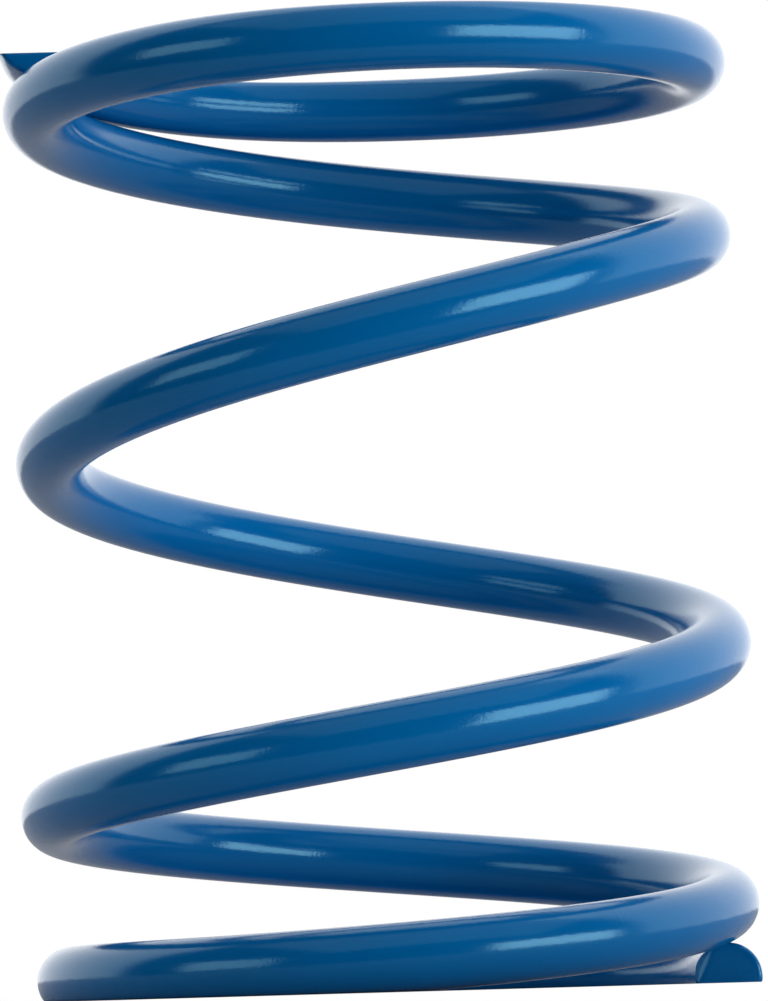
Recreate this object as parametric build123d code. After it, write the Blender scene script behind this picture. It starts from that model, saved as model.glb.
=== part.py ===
from build123d import *
import math
import os

# Round-wire helical compression spring, right-hand wound, with closed and ground ends.
# Frame: origin at the centre of the ground bottom face, coil axis along +Z, +X towards the
# lower wire end. Millimetres.

# ---- Driving sizes ----
wire_diameter = 4.5
outside_diameter = 49.0
free_length = 64.0
total_turns = 4.55
# Direction in which the lower wire end lies, in degrees from +X, anticlockwise from above.
lower_end_angle = -10.0

# Depth of metal ground off each wire end to make the flat seats.
lower_grind_depth = 1.85
upper_grind_depth = 2.30
# Clearance left between each wire end and the turn it closes onto.
closing_clearance = 0.1
# How far each wire end springs out past the coil, and the share of a turn over which it does.
end_flare = 0.25
end_stretch = 0.25

# Turns at each end over which the coil stays closed.
lower_closed_turns = 0.65
upper_closed_turns = 0.69
# How the coil opens between its closed ends: share of the open stretch, then the pitch there
# as a share of the widest pitch. It opens in two steps and closes again in one.
opening_profile = (
    (0.00, 0.00),
    (0.10, 0.47),
    (0.27, 0.27),
    (0.42, 0.91),
    (0.57, 0.59),
    (0.69, 1.00),
    (0.82, 0.48),
    (1.00, 0.00),
)

# Each wire end is cropped square and tumbled, which rounds its rim. The blade leaves a small
# sloping facet on the inner side of the lower cut: its width from ridge to rim, the lean of
# the ridge and the slope of the facet.
rim_rounding = 0.3
facet_width = 0.55
facet_lean = 24.0
facet_slope = 32.0

# The wire's centre line is drawn in short stretches of two arcs each.
stretches_per_turn = 4

# ---- Sizes that follow ----
wire_radius = wire_diameter / 2
coil_radius = outside_diameter / 2 - wire_radius
lower_centre = wire_radius - lower_grind_depth
upper_centre = free_length - wire_radius + upper_grind_depth
turn_on_turn = wire_diameter + closing_clearance


def opening_at(turn):
    """Pitch at a turn of the coil, as a share of the widest pitch."""
    stretch = total_turns - lower_closed_turns - upper_closed_turns
    share = (turn - lower_closed_turns) / stretch
    for (start, low), (end, high) in zip(opening_profile, opening_profile[1:]):
        if start <= share <= end:
            return low + (high - low) * (share - start) / (end - start)
    return 0.0


def opened_by(turn, steps=400):
    """Sum of the opening from the lower end to a turn, by the trapezium rule."""
    width = turn / steps
    inner = sum(opening_at(width * i) for i in range(1, steps))
    return width * (inner + (opening_at(0) + opening_at(turn)) / 2)


# The first and last turns each rise by exactly one turn-on-turn height, so both wire ends
# close onto the next turn, and the widest pitch takes up the rest of the free length.
first_opened = opened_by(1)
last_opened = opened_by(total_turns) - opened_by(total_turns - 1)
rise_left = upper_centre - lower_centre - total_turns * turn_on_turn
widest_pitch = rise_left / (opened_by(total_turns - 1) - (total_turns - 1) * first_opened)
closed_pitch = turn_on_turn - widest_pitch * first_opened
upper_end_lift = widest_pitch * (first_opened - last_opened)


def end_rise(turns_from_end):
    """Grows from 0 to 1 over the last stretch of wire before an end."""
    return max(0.0, 1 - turns_from_end / end_stretch) ** 2


def centre_height(turn):
    """Height of the wire's centre above the ground bottom face."""
    rise = closed_pitch * turn + widest_pitch * opened_by(turn)
    return lower_centre + rise + upper_end_lift * end_rise(total_turns - turn)


def centre_point(turn):
    """Point on the wire's centre line, at a number of turns from the lower end."""
    angle = math.radians(lower_end_angle + 360 * turn)
    flare = end_rise(turn) + end_rise(total_turns - turn)
    radius = coil_radius + end_flare * flare
    return Vector(radius * math.cos(angle), radius * math.sin(angle), centre_height(turn))


# ---- The wire, coiled ----
def heading(turn, step=1e-4):
    """Direction in which the centre line runs at a turn."""
    return (centre_point(turn + step) - centre_point(turn - step)).normalized()


def arcs_between(first, last):
    """Two arcs that carry the centre line on smoothly from one turn to another."""
    start, end = centre_point(first), centre_point(last)
    setting_out, coming_in = heading(first), heading(last)
    chord = end - start
    along = chord.dot(setting_out + coming_in)
    spread = 2 * (1 - setting_out.dot(coming_in))
    reach = (math.sqrt(along**2 + spread * chord.dot(chord)) - along) / spread
    first_corner = start + setting_out * reach
    last_corner = end - coming_in * reach
    middle = (first_corner + last_corner) / 2
    return [
        TangentArc(start, middle, tangent=setting_out),
        TangentArc(middle, end, tangent=last_corner - first_corner),
    ]


stretch_count = math.ceil(stretches_per_turn * total_turns)
stops = [total_turns * i / stretch_count for i in range(stretch_count + 1)]
arcs = [arc for first, last in zip(stops, stops[1:]) for arc in arcs_between(first, last)]
centre_line = Wire(arcs)
wire_section = Plane(centre_line @ 0, z_dir=centre_line % 0) * Circle(wire_radius)
coil = sweep(wire_section, path=centre_line)

# ---- Cropped ends ----
coil = fillet(coil.faces().filter_by(GeomType.PLANE).edges(), rim_rounding)

# The blade, drawn small enough to miss the turn above: X leads outwards from the ridge.
lower_end = centre_point(0)
outwards = Vector(lower_end.X, lower_end.Y, 0)
lower_cut = Plane(lower_end, x_dir=outwards, z_dir=-heading(0))
ridge_length = 2 * math.sqrt(wire_radius**2 - (wire_radius - facet_width) ** 2)
blade = Box(
    1.5 * facet_width,
    1.1 * ridge_length,
    facet_width,
    align=(Align.MIN, Align.CENTER, Align.MIN),
)
ridge = Rot(Z=180 - facet_lean) * Pos(X=wire_radius - facet_width) * Rot(Y=facet_slope)
coil -= lower_cut * ridge * blade

# ---- Ground flat seats ----
clear_of_coil = 2 * outside_diameter
seats = Box(clear_of_coil, clear_of_coil, free_length, align=(Align.CENTER, Align.CENTER, Align.MIN))
spring = coil & seats

os.makedirs("parts", exist_ok=True)
export_step(spring, "parts/spring.step")
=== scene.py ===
import math

import bpy
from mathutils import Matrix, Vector


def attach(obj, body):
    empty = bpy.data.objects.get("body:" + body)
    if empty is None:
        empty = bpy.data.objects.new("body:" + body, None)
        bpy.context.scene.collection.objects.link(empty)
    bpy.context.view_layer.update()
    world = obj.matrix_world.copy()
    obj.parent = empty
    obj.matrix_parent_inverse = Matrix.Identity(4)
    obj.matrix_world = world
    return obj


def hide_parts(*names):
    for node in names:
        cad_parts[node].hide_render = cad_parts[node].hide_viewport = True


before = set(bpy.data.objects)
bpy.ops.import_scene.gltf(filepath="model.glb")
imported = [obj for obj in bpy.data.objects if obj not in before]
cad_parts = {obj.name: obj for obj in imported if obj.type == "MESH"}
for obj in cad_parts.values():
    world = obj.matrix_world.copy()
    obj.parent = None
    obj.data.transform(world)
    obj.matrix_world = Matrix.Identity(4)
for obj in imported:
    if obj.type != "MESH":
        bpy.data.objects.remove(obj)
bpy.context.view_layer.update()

# ---- Coil: the whole spring ----
# One length of round hardened spring-steel wire, coiled right-handed with the turns closed at
# both ends, cropped square, ground flat top and bottom for seats, then powder coated in gloss
# blue all over.
WIRE = 0.0045
OUTSIDE = 0.0490
LENGTH = 0.0640
TURNS = 4.55
LOWER_END_ANGLE = math.radians(-10.0)
LOWER_GRIND = 0.00185
UPPER_GRIND = 0.00230
CLOSING_CLEARANCE = 0.0001
END_FLARE = 0.00025
END_STRETCH = 0.25
LOWER_CLOSED = 0.65
UPPER_CLOSED = 0.69
# Share of the open stretch, then the pitch there as a share of the widest pitch.
OPENING = (
    (0.00, 0.00),
    (0.10, 0.47),
    (0.27, 0.27),
    (0.42, 0.91),
    (0.57, 0.59),
    (0.69, 1.00),
    (0.82, 0.48),
    (1.00, 0.00),
)
RIM_ROUNDING = 0.0003
SEAT_ROUNDING = 0.00035
FACET_WIDTH = 0.00055
FACET_LEAN = math.radians(24.0)
FACET_SLOPE = math.radians(32.0)
FACET_ROUNDING = 0.00006
# Turns, and how far they were wound inside the true radius there.
WANDER = (
    (0.00, 0.0),
    (0.50, 0.0009),
    (0.97, 0.0),
    (1.50, 0.0001),
    (2.00, 0.0),
    (2.50, 0.0003),
    (3.00, 0.0005),
    (3.50, 0.0),
    (4.00, 0.0005),
    (4.35, 0.0),
    (4.55, 0.0),
)
WANDER_RANGE = 0.002
# The upper seat is ground a little out of parallel: it meets the full length at the back.
UPPER_SEAT_RISE_X = 0.0125
UPPER_SEAT_RISE_Y = 0.021

RINGS = 500
SIDES = 112
CAP_RINGS = 6
RIM_RINGS = 6
CLIMB_STEP = 0.002
WELD_DISTANCE = 1e-7

# The pitch changes in straight steps, so the height is a sum of half squares from each knee.
open_stretch = TURNS - LOWER_CLOSED - UPPER_CLOSED
knees = []
slope_before = 0.0
for (share, opening), (next_share, next_opening) in zip(OPENING, OPENING[1:]):
    slope = (next_opening - opening) / ((next_share - share) * open_stretch)
    knees.append((LOWER_CLOSED + share * open_stretch, slope - slope_before))
    slope_before = slope
knees.append((TURNS - UPPER_CLOSED, -slope_before))


def opened_by(turn):
    """Sum of the opening from the lower end to a turn."""
    return sum(change * max(0.0, turn - knee) ** 2 / 2 for knee, change in knees)


# Both wire ends close onto the next turn, and the widest pitch takes up the free length.
lower_centre = WIRE / 2 - LOWER_GRIND
upper_centre = LENGTH - WIRE / 2 + UPPER_GRIND
turn_on_turn = WIRE + CLOSING_CLEARANCE
first_opened = opened_by(1)
last_opened = opened_by(TURNS) - opened_by(TURNS - 1)
rise_left = upper_centre - lower_centre - TURNS * turn_on_turn
widest_pitch = rise_left / (opened_by(TURNS - 1) - (TURNS - 1) * first_opened)
closed_pitch = turn_on_turn - widest_pitch * first_opened
upper_end_lift = widest_pitch * (first_opened - last_opened)


def new_group(name, kind, inputs, outputs):
    """Node group with named inputs and outputs, and its two end nodes."""
    group = bpy.data.node_groups.new(name, kind)
    for label, sort, value in inputs:
        socket = group.interface.new_socket(label, in_out="INPUT", socket_type=sort)
        if value is not None:
            socket.default_value = value
    for label, sort in outputs:
        group.interface.new_socket(label, in_out="OUTPUT", socket_type=sort)
    return group, group.nodes.new("NodeGroupInput"), group.nodes.new("NodeGroupOutput")


def join(group, value, socket):
    """A socket is linked, and a plain value is set."""
    if isinstance(value, bpy.types.NodeSocket):
        group.links.new(value, socket)
    else:
        socket.default_value = value


def reckon(group, operation, *values):
    """One step of arithmetic in a node group."""
    node = group.nodes.new("ShaderNodeMath")
    node.operation = operation
    for value, socket in zip(values, node.inputs):
        join(group, value, socket)
    return node.outputs[0]


def add_up(group, values):
    """Sum of several values in a node group."""
    total = values[0]
    for value in values[1:]:
        total = reckon(group, "ADD", total, value)
    return total


# Height of the wire's centre at a turn.
height_group, given, result = new_group(
    "Centre Height",
    "GeometryNodeTree",
    [
        ("Turn", "NodeSocketFloat", 0.0),
        ("Turns", "NodeSocketFloat", TURNS),
        ("Lower Centre", "NodeSocketFloat", lower_centre),
        ("Closed Pitch", "NodeSocketFloat", closed_pitch),
        ("Widest Pitch", "NodeSocketFloat", widest_pitch),
        ("Upper End Lift", "NodeSocketFloat", upper_end_lift),
        ("End Stretch", "NodeSocketFloat", END_STRETCH),
    ],
    [("Height", "NodeSocketFloat")],
)
turn = given.outputs["Turn"]
halves = []
for knee, change in knees:
    past = reckon(height_group, "MAXIMUM", reckon(height_group, "SUBTRACT", turn, knee), 0.0)
    square = reckon(height_group, "MULTIPLY", past, past)
    halves.append(reckon(height_group, "MULTIPLY", square, change / 2))
opened = reckon(
    height_group, "MULTIPLY", add_up(height_group, halves), given.outputs["Widest Pitch"]
)
closed = reckon(height_group, "MULTIPLY", turn, given.outputs["Closed Pitch"])
to_end = reckon(height_group, "SUBTRACT", given.outputs["Turns"], turn)
end_share = reckon(height_group, "DIVIDE", to_end, given.outputs["End Stretch"])
near_end = reckon(
    height_group, "MAXIMUM", reckon(height_group, "SUBTRACT", 1.0, end_share), 0.0
)
lift = reckon(
    height_group,
    "MULTIPLY",
    reckon(height_group, "MULTIPLY", near_end, near_end),
    given.outputs["Upper End Lift"],
)
join(
    height_group,
    add_up(height_group, [given.outputs["Lower Centre"], closed, opened, lift]),
    result.inputs["Height"],
)

# The coil itself: a grid of rings, each set round the wire's centre line.
coil_group, given, result = new_group(
    "Coiled Wire",
    "GeometryNodeTree",
    [
        ("Rings", "NodeSocketInt", RINGS),
        ("Sides", "NodeSocketInt", SIDES),
        ("Wire Diameter", "NodeSocketFloat", WIRE),
        ("Outside Diameter", "NodeSocketFloat", OUTSIDE),
        ("Free Length", "NodeSocketFloat", LENGTH),
        ("Turns", "NodeSocketFloat", TURNS),
        ("Lower End Angle", "NodeSocketFloat", LOWER_END_ANGLE),
        ("End Flare", "NodeSocketFloat", END_FLARE),
        ("End Stretch", "NodeSocketFloat", END_STRETCH),
        ("Rim Rounding", "NodeSocketFloat", RIM_ROUNDING),
        ("Seat Rounding", "NodeSocketFloat", SEAT_ROUNDING),
        ("Facet Width", "NodeSocketFloat", FACET_WIDTH),
        ("Facet Lean", "NodeSocketFloat", FACET_LEAN),
        ("Facet Slope", "NodeSocketFloat", FACET_SLOPE),
        ("Upper Seat Rise X", "NodeSocketFloat", UPPER_SEAT_RISE_X),
        ("Upper Seat Rise Y", "NodeSocketFloat", UPPER_SEAT_RISE_Y),
        ("Coating", "NodeSocketMaterial", None),
    ],
    [("Geometry", "NodeSocketGeometry")],
)


def sum_of(operation, *values):
    """One step of arithmetic in the coil's tree."""
    return reckon(coil_group, operation, *values)


def height_at(turn):
    """Height of the wire's centre at a turn, in the coil's tree."""
    node = coil_group.nodes.new("GeometryNodeGroup")
    node.node_tree = height_group
    join(coil_group, turn, node.inputs["Turn"])
    for label in ("Turns", "End Stretch"):
        join(coil_group, given.outputs[label], node.inputs[label])
    return node.outputs["Height"]


grid = coil_group.nodes.new("GeometryNodeMeshGrid")
grid.inputs["Size X"].default_value = 1.0
grid.inputs["Size Y"].default_value = 1.0
join(coil_group, given.outputs["Rings"], grid.inputs["Vertices X"])
join(coil_group, sum_of("ADD", given.outputs["Sides"], 1.0), grid.inputs["Vertices Y"])

place = coil_group.nodes.new("ShaderNodeSeparateXYZ")
join(coil_group, coil_group.nodes.new("GeometryNodeInputPosition").outputs[0], place.inputs[0])
last_ring = sum_of("SUBTRACT", given.outputs["Rings"], 1.0)
ring = sum_of("MULTIPLY", sum_of("ADD", place.outputs["X"], 0.5), last_ring)
around = sum_of("MULTIPLY", sum_of("ADD", place.outputs["Y"], 0.5), 2 * math.pi)
cos_around = sum_of("COSINE", around)
sin_around = sum_of("SINE", around)

# Which end a ring is nearer to, and how it belongs to the flat cut, the rounded rim or the coil.
from_end = sum_of("MINIMUM", ring, sum_of("SUBTRACT", last_ring, ring))
is_upper = sum_of("GREATER_THAN", ring, sum_of("MULTIPLY", last_ring, 0.5))
flat_share = sum_of("MINIMUM", sum_of("DIVIDE", from_end, float(CAP_RINGS)), 1.0)
rim_share = sum_of("DIVIDE", sum_of("SUBTRACT", from_end, float(CAP_RINGS)), float(RIM_RINGS))
rim_angle = sum_of(
    "MULTIPLY", sum_of("MINIMUM", sum_of("MAXIMUM", rim_share, 0.0), 1.0), math.pi / 2
)
wire_radius = sum_of("MULTIPLY", given.outputs["Wire Diameter"], 0.5)
flat_radius = sum_of("SUBTRACT", wire_radius, given.outputs["Rim Rounding"])
ring_radius = sum_of(
    "ADD",
    sum_of("MULTIPLY", flat_radius, flat_share),
    sum_of("MULTIPLY", given.outputs["Rim Rounding"], sum_of("SINE", rim_angle)),
)
out = sum_of("MULTIPLY", ring_radius, cos_around)
up = sum_of("MULTIPLY", ring_radius, sin_around)

coil_radius = sum_of(
    "SUBTRACT", sum_of("MULTIPLY", given.outputs["Outside Diameter"], 0.5), wire_radius
)
round_once = sum_of("MULTIPLY", coil_radius, 2 * math.pi)
wire_length = sum_of("MULTIPLY", round_once, given.outputs["Turns"])
rim_in = sum_of(
    "MULTIPLY",
    given.outputs["Rim Rounding"],
    sum_of("SUBTRACT", 1.0, sum_of("COSINE", rim_angle)),
)
end_rings = float(CAP_RINGS + RIM_RINGS)
ring_step = sum_of(
    "DIVIDE",
    sum_of("SUBTRACT", wire_length, sum_of("MULTIPLY", given.outputs["Rim Rounding"], 2.0)),
    sum_of("SUBTRACT", last_ring, 2 * end_rings),
)
along_coil = sum_of(
    "MULTIPLY", sum_of("MAXIMUM", sum_of("SUBTRACT", from_end, end_rings), 0.0), ring_step
)
from_cut = sum_of("ADD", rim_in, along_coil)

# The blade's facet on the lower cut moves what lies beyond its ridge back along the wire.
ridge_out = sum_of("MULTIPLY", sum_of("COSINE", given.outputs["Facet Lean"]), -1.0)
ridge_up = sum_of("SINE", given.outputs["Facet Lean"])
past_ridge = sum_of(
    "SUBTRACT",
    sum_of("ADD", sum_of("MULTIPLY", out, ridge_out), sum_of("MULTIPLY", up, ridge_up)),
    sum_of("SUBTRACT", wire_radius, given.outputs["Facet Width"]),
)
facet_in = sum_of(
    "MULTIPLY",
    sum_of("MULTIPLY", past_ridge, sum_of("TANGENT", given.outputs["Facet Slope"])),
    sum_of("SUBTRACT", 1.0, is_upper),
)
from_cut = sum_of("SMOOTH_MAX", from_cut, facet_in, FACET_ROUNDING)

lower_turn = sum_of("DIVIDE", from_cut, round_once)
upper_turn = sum_of("SUBTRACT", given.outputs["Turns"], lower_turn)
turn = sum_of(
    "ADD",
    sum_of("MULTIPLY", lower_turn, sum_of("SUBTRACT", 1.0, is_upper)),
    sum_of("MULTIPLY", upper_turn, is_upper),
)

# Round the coil's axis: out from the axis and up, square to the wire as it climbs.
angle = sum_of("ADD", sum_of("MULTIPLY", turn, 2 * math.pi), given.outputs["Lower End Angle"])
cos_angle = sum_of("COSINE", angle)
sin_angle = sum_of("SINE", angle)
height = height_at(turn)
height_after = height_at(sum_of("ADD", turn, CLIMB_STEP))
height_before = height_at(sum_of("SUBTRACT", turn, CLIMB_STEP))
climb = sum_of(
    "DIVIDE",
    sum_of("SUBTRACT", height_after, height_before),
    sum_of("MULTIPLY", round_once, 2 * CLIMB_STEP),
)
climb_angle = sum_of("ARCTANGENT", climb)
cos_climb = sum_of("COSINE", climb_angle)
sin_climb = sum_of("SINE", climb_angle)
end_shares = []
for turns_in in (turn, sum_of("SUBTRACT", given.outputs["Turns"], turn)):
    past_end = sum_of("DIVIDE", turns_in, given.outputs["End Stretch"])
    share = sum_of("MAXIMUM", sum_of("SUBTRACT", 1.0, past_end), 0.0)
    end_shares.append(sum_of("MULTIPLY", share, share))
flare = sum_of("MULTIPLY", sum_of("ADD", *end_shares), given.outputs["End Flare"])

# The wound radius wanders inwards a little from turn to turn.
wander = coil_group.nodes.new("ShaderNodeFloatCurve")
line = wander.mapping.curves[0]
line.points[0].location = (0.0, WANDER[0][1] / WANDER_RANGE)
line.points[1].location = (1.0, WANDER[-1][1] / WANDER_RANGE)
for wound_turn, inside in WANDER[1:-1]:
    line.points.new(wound_turn / TURNS, inside / WANDER_RANGE)
wander.mapping.update()
join(coil_group, sum_of("DIVIDE", turn, given.outputs["Turns"]), wander.inputs["Value"])
inside = sum_of("MULTIPLY", wander.outputs[0], WANDER_RANGE)
wound_radius = sum_of("SUBTRACT", sum_of("ADD", coil_radius, flare), inside)
from_axis = sum_of("ADD", wound_radius, out)
lean = sum_of("MULTIPLY", up, sin_climb)
x = sum_of(
    "ADD", sum_of("MULTIPLY", from_axis, cos_angle), sum_of("MULTIPLY", lean, sin_angle)
)
y = sum_of(
    "SUBTRACT", sum_of("MULTIPLY", from_axis, sin_angle), sum_of("MULTIPLY", lean, cos_angle)
)
z = sum_of("ADD", height, sum_of("MULTIPLY", up, cos_climb))

# Ground seats: nothing stands below the bottom face or above the top face, which falls away a
# little from the back of the coil towards its front and its left.
z = sum_of("SMOOTH_MAX", z, 0.0, given.outputs["Seat Rounding"])
back_rise = sum_of(
    "MULTIPLY", sum_of("SUBTRACT", y, coil_radius), given.outputs["Upper Seat Rise Y"]
)
side_rise = sum_of("MULTIPLY", x, given.outputs["Upper Seat Rise X"])
upper_seat = sum_of("ADD", given.outputs["Free Length"], sum_of("ADD", back_rise, side_rise))
upper_seat = sum_of("MINIMUM", upper_seat, given.outputs["Free Length"])
z = sum_of("SMOOTH_MIN", z, upper_seat, given.outputs["Seat Rounding"])
z = sum_of("MINIMUM", sum_of("MAXIMUM", z, 0.0), given.outputs["Free Length"])

spot = coil_group.nodes.new("ShaderNodeCombineXYZ")
for value, socket in zip((x, y, z), spot.inputs):
    join(coil_group, value, socket)
bend = coil_group.nodes.new("GeometryNodeSetPosition")
join(coil_group, grid.outputs["Mesh"], bend.inputs["Geometry"])
join(coil_group, spot.outputs[0], bend.inputs["Position"])
weld = coil_group.nodes.new("GeometryNodeMergeByDistance")
join(coil_group, bend.outputs["Geometry"], weld.inputs["Geometry"])
weld.inputs["Distance"].default_value = WELD_DISTANCE
smooth = coil_group.nodes.new("GeometryNodeSetShadeSmooth")
join(coil_group, weld.outputs["Geometry"], smooth.inputs["Geometry"])
real = coil_group.nodes.new("GeometryNodeRealizeInstances")
join(coil_group, smooth.outputs["Geometry"], real.inputs["Geometry"])
coat = coil_group.nodes.new("GeometryNodeSetMaterial")
join(coil_group, real.outputs["Geometry"], coat.inputs["Geometry"])
join(coil_group, given.outputs["Coating"], coat.inputs["Material"])
join(coil_group, coat.outputs["Geometry"], result.inputs["Geometry"])

# Gloss blue powder coat: one deep blue that shifts a little in shade, with the fine grain that
# such coats cure with.
DEEP_BLUE = (0.0, 0.124, 0.372, 1.0)
FULL_BLUE = (0.0, 0.138, 0.405, 1.0)
SHINE_TINT = (0.36, 0.84, 1.0, 1.0)
COAT_ROUGHNESS = 0.16
COAT_IOR = 1.55
SHADE_SCALE = 160.0
GRAIN_SCALE = 4500.0
GRAIN_STRENGTH = 0.5
GRAIN_DEPTH = 0.00002

blue = bpy.data.materials.new("gloss blue coat")
blue.use_nodes = True
nodes = blue.node_tree.nodes
links = blue.node_tree.links
shader = nodes["Principled BSDF"]
shader.inputs["Roughness"].default_value = COAT_ROUGHNESS
shader.inputs["IOR"].default_value = COAT_IOR
shader.inputs["Specular Tint"].default_value = SHINE_TINT


def cloudy(scale, detail):
    """Noise through the coil's own space."""
    noise = nodes.new("ShaderNodeTexNoise")
    noise.inputs["Scale"].default_value = scale
    noise.inputs["Detail"].default_value = detail
    links.new(where.outputs["Object"], noise.inputs["Vector"])
    return noise.outputs["Fac"]


where = nodes.new("ShaderNodeTexCoord")
tint = nodes.new("ShaderNodeMix")
tint.data_type = "RGBA"
tint.inputs["A"].default_value = DEEP_BLUE
tint.inputs["B"].default_value = FULL_BLUE
links.new(cloudy(SHADE_SCALE, 1.0), tint.inputs["Factor"])
links.new(tint.outputs["Result"], shader.inputs["Base Color"])
grain = nodes.new("ShaderNodeBump")
grain.inputs["Strength"].default_value = GRAIN_STRENGTH
grain.inputs["Distance"].default_value = GRAIN_DEPTH
links.new(cloudy(GRAIN_SCALE, 2.0), grain.inputs["Height"])
links.new(grain.outputs["Normal"], shader.inputs["Normal"])

blank = bpy.data.meshes.new("coil blank")
coil = bpy.data.objects.new("coil", blank)
bpy.context.collection.objects.link(coil)
maker = coil.modifiers.new("Coiled Wire", "NODES")
maker.node_group = coil_group
for item in coil_group.interface.items_tree:
    if item.in_out == "INPUT" and item.name == "Coating":
        maker[item.identifier] = blue
bpy.context.view_layer.update()
worked_out = bpy.context.evaluated_depsgraph_get()
finished = bpy.data.meshes.new_from_object(coil.evaluated_get(worked_out))
coil.modifiers.clear()
coil.data = finished
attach(coil, "root")
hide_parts("spring")

# ---- Studio ----
# A round pale floor, a room that is dark towards the camera and white behind the spring, and
# three soft boxes: a weak one at the left, the bright one at the right and a dim one overhead.
FLOOR_SIDES = 96
FLOOR_RADIUS = 0.36
FLOOR_BACK = 0.28
FLOOR_COLOUR = (0.42, 0.42, 0.42, 1)
FLOOR_ROUGHNESS = 0.8
FLOOR_GLOW = 0.74
WALL_STARTS = 0.10
WALL_FULL = 0.24
WALL_STRENGTH = 1.4
RIGHT_WRAP = 0.3
# Name, degrees to the camera's right, degrees up, width, height and radiance.
SOFT_BOXES = (
    ("left box", -57, 12, 0.32, 0.24, 2.1),
    ("right box", 50, 1, 0.46, 0.34, 5.7),
    ("top box", 10, 66, 0.80, 0.70, 0.5),
)
BOX_DISTANCE = 0.6

floor_mesh = bpy.data.meshes.new("floor")
rim = []
for side in range(FLOOR_SIDES):
    bearing = side * 2 * math.pi / FLOOR_SIDES
    rim.append(
        (FLOOR_RADIUS * math.cos(bearing), FLOOR_RADIUS * math.sin(bearing) + FLOOR_BACK, 0.0)
    )
floor_mesh.from_pydata(rim, [], [tuple(range(FLOOR_SIDES))])
floor = bpy.data.objects.new("floor", floor_mesh)
bpy.context.collection.objects.link(floor)
pale = bpy.data.materials.new("pale floor")
pale.use_nodes = True
nodes = pale.node_tree.nodes
links = pale.node_tree.links
shader = nodes["Principled BSDF"]
shader.inputs["Base Color"].default_value = FLOOR_COLOUR
shader.inputs["Roughness"].default_value = FLOOR_ROUGHNESS
shader.inputs["Emission Color"].default_value = (1, 1, 1, 1)
light_path = nodes.new("ShaderNodeLightPath")
glow = nodes.new("ShaderNodeMath")
glow.operation = "MULTIPLY"
glow.inputs[1].default_value = FLOOR_GLOW
links.new(light_path.outputs["Is Camera Ray"], glow.inputs[0])
links.new(glow.outputs[0], shader.inputs["Emission Strength"])
floor_mesh.materials.append(pale)

world = bpy.data.worlds.new("studio")
bpy.context.scene.world = world
world.use_nodes = True
nodes = world.node_tree.nodes
links = world.node_tree.links
room = nodes["Background"]
room.inputs["Color"].default_value = (1, 1, 1, 1)
toward = nodes.new("ShaderNodeTexCoord")
split = nodes.new("ShaderNodeSeparateXYZ")
links.new(toward.outputs["Generated"], split.inputs[0])
# The white wall comes further round on the right.
to_right = nodes.new("ShaderNodeMath")
to_right.operation = "MAXIMUM"
to_right.inputs[1].default_value = 0.0
links.new(split.outputs["X"], to_right.inputs[0])
wrap = nodes.new("ShaderNodeMath")
wrap.operation = "MULTIPLY_ADD"
wrap.inputs[1].default_value = RIGHT_WRAP
links.new(to_right.outputs[0], wrap.inputs[0])
links.new(split.outputs["Y"], wrap.inputs[2])
wall = nodes.new("ShaderNodeMapRange")
wall.interpolation_type = "SMOOTHSTEP"
wall.inputs["From Min"].default_value = WALL_STARTS
wall.inputs["From Max"].default_value = WALL_FULL
wall.inputs["To Min"].default_value = 0.0
wall.inputs["To Max"].default_value = WALL_STRENGTH
links.new(wrap.outputs[0], wall.inputs["Value"])
light_path = nodes.new("ShaderNodeLightPath")
strength = nodes.new("ShaderNodeMix")
strength.inputs["B"].default_value = 1.0
links.new(wall.outputs["Result"], strength.inputs["A"])
links.new(light_path.outputs["Is Camera Ray"], strength.inputs["Factor"])
links.new(strength.outputs["Result"], room.inputs["Strength"])

for name, azimuth, elevation, width, height, radiance in SOFT_BOXES:
    lamp = bpy.data.lights.new(name, "AREA")
    lamp.shape = "RECTANGLE"
    lamp.size = width
    lamp.size_y = height
    lamp.energy = radiance * math.pi * width * height
    box = bpy.data.objects.new(name, lamp)
    bpy.context.collection.objects.link(box)
    round_by = math.radians(azimuth)
    up_by = math.radians(elevation)
    away = Vector(
        (
            math.cos(up_by) * math.sin(round_by),
            -math.cos(up_by) * math.cos(round_by),
            math.sin(up_by),
        )
    )
    box.location = Vector((0, 0, LENGTH / 2)) + away * BOX_DISTANCE
    box.rotation_euler = (-away).to_track_quat("-Z", "Y").to_euler()
    box.visible_camera = False

# ---- Camera ----
# A long lens near the floor, tilted up a little, with the whole spring in the frame.
CAMERA_PLACE = (0.0, -0.4539, 0.0)
SENSOR_WIDTH = 36.0
LENS = 319.0546875
PITCH = 0.07214
YAW = 0.00071
ROLL = -0.02857

camera = bpy.data.objects.new("camera", bpy.data.cameras.new("camera"))
bpy.context.collection.objects.link(camera)
camera.data.sensor_fit = "HORIZONTAL"
camera.data.sensor_width = SENSOR_WIDTH
camera.data.lens = LENS
camera.data.clip_start = 0.01
camera.data.clip_end = 50.0
forward = Vector(
    (math.sin(YAW) * math.cos(PITCH), math.cos(YAW) * math.cos(PITCH), math.sin(PITCH))
)
level_right = Vector((math.cos(YAW), -math.sin(YAW), 0.0))
level_up = level_right.cross(forward)
right = level_right * math.cos(ROLL) + level_up * math.sin(ROLL)
camera_up = right.cross(forward)
matrix = camera.matrix_world.copy()
for row in range(3):
    matrix[row][0] = right[row]
    matrix[row][1] = camera_up[row]
    matrix[row][2] = -forward[row]
    matrix[row][3] = CAMERA_PLACE[row]
camera.matrix_world = matrix
bpy.context.scene.camera = camera
bpy.context.scene.view_settings.view_transform = "Standard"
